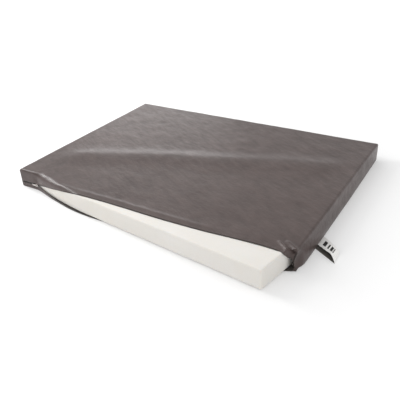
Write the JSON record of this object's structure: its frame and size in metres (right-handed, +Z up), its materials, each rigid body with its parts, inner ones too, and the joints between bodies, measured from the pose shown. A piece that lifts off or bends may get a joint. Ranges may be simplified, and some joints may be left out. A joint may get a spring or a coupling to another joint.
{
  "type": "pressure relief mattress",
  "caption": "Flat rectangular foam pad in a coated zip-off cover, its front zip open and the white core drawn part-way out at one corner.",
  "frame": {"origin": "centre of the cover's base, on the surface that it lies on", "axes": "+X along the zipped long side, from the slider's end to the label's side; +Y from the zip to the back; +Z up"},
  "size_m": [1.0722, 0.809, 0.0644],
  "materials": {
    "cover": "soft sheen",
    "seam": "matte",
    "thread": "matte",
    "zip_tape": "woven",
    "zip_teeth": "satin",
    "metal": "satin nickel",
    "foam": "open-cell foam",
    "label": "woven"
  },
  "bodies": {
    "cover": {"top_panel": "cover", "base_panel": "cover", "back_border": "cover", "left_border": "cover", "right_border": "cover", "front_border_zipped_end": "cover", "front_strip_zipped_end": "cover", "front_lower_strip": "cover", "corner_seams": "seam", "base_seam": "seam", "zip_tapes_zipped_end": "zip_tape", "zip_teeth_closed": "zip_teeth", "zip_bottom_stop": "metal", "zip_top_stops": "metal", "zip_tape_lower": "zip_tape", "zip_teeth_lower": "zip_teeth", "label_stitches": "thread"},
    "flap": {"front_flap": "cover", "zip_tape_upper": "zip_tape", "zip_teeth_upper": "zip_teeth", "flap_left_wrap": "cover", "flap_right_fold": "cover"},
    "core": {"foam_core": "foam"},
    "slider": {"zip_slider": "metal"},
    "puller": {"zip_puller": "metal"},
    "label": {"label_ribbon": "label"}
  },
  "joints": [
    {"name": "core_slide", "type": "slide", "parent": "cover", "child": "core", "axis": [0, -1, 0], "range_m": [0, 0.75], "deforming": ["foam_core"]},
    {"name": "flap_lift", "type": "hinge", "parent": "cover", "child": "flap", "pos_m": [0, -0.35, 0.064], "axis": [-1, 0, 0], "range_deg": [0, 150], "deforming": ["flap_left_wrap", "flap_right_fold"]},
    {"name": "zip_slide", "type": "slide", "parent": "cover", "child": "slider", "axis": [1, 0, 0], "range_m": [-0.055, 0.906], "deforming": ["zip_teeth_closed", "zip_teeth_lower", "front_lower_strip"]},
    {"name": "puller_swing", "type": "hinge", "parent": "slider", "child": "puller", "pos_m": [-0.4292, -0.3531, 0.0185], "axis": [0, 0, 1], "range_deg": [0, 150]},
    {"name": "label_flex", "type": "hinge", "parent": "cover", "child": "label", "pos_m": [0.5012, -0.2075, 0.0005], "axis": [0, -1, 0], "range_deg": [0, 45]}
  ]
}
